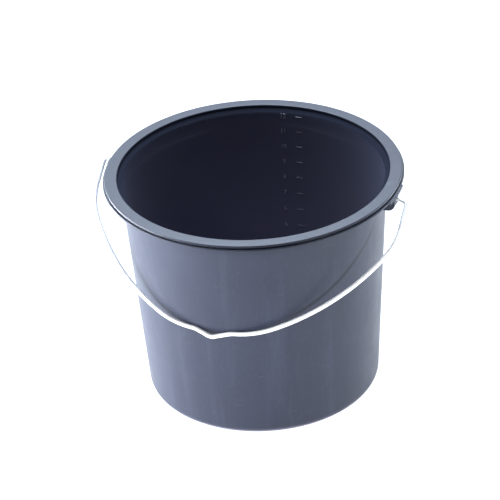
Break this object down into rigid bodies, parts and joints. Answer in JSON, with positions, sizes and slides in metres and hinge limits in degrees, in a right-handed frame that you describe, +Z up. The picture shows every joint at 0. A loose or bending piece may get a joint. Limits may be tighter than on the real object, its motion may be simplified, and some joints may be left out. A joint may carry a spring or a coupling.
{
  "type": "mortar bucket",
  "caption": "Round tapered plastic builder's bucket with a grooved rim, pocketed side ears, a raised litre scale inside and a bent wire bail.",
  "frame": {"origin": "centre of the base, on the ground plane", "axes": "+X runs through the right-hand ear along the bail's pivot line, +Z up, and the bail hangs on the -Y side"},
  "size_m": [0.339, 0.312, 0.248],
  "materials": {
    "tub_plastic": "satin moulded polyethylene",
    "zinc_wire": "bright galvanised wire"
  },
  "bodies": {
    "tub": {"tub_floor": "tub_plastic", "tub_wall": "tub_plastic", "tub_rim": "tub_plastic", "ear_left": "tub_plastic", "ear_right": "tub_plastic", "litre_scale": "tub_plastic"},
    "bail": {"wire_bail": "zinc_wire"}
  },
  "joints": [
    {"name": "bail_swing", "type": "hinge", "parent": "tub", "child": "bail", "pos_m": [0, 0, 0.238], "axis": [-1, 0, 0], "range_deg": [0, 257]}
  ]
}
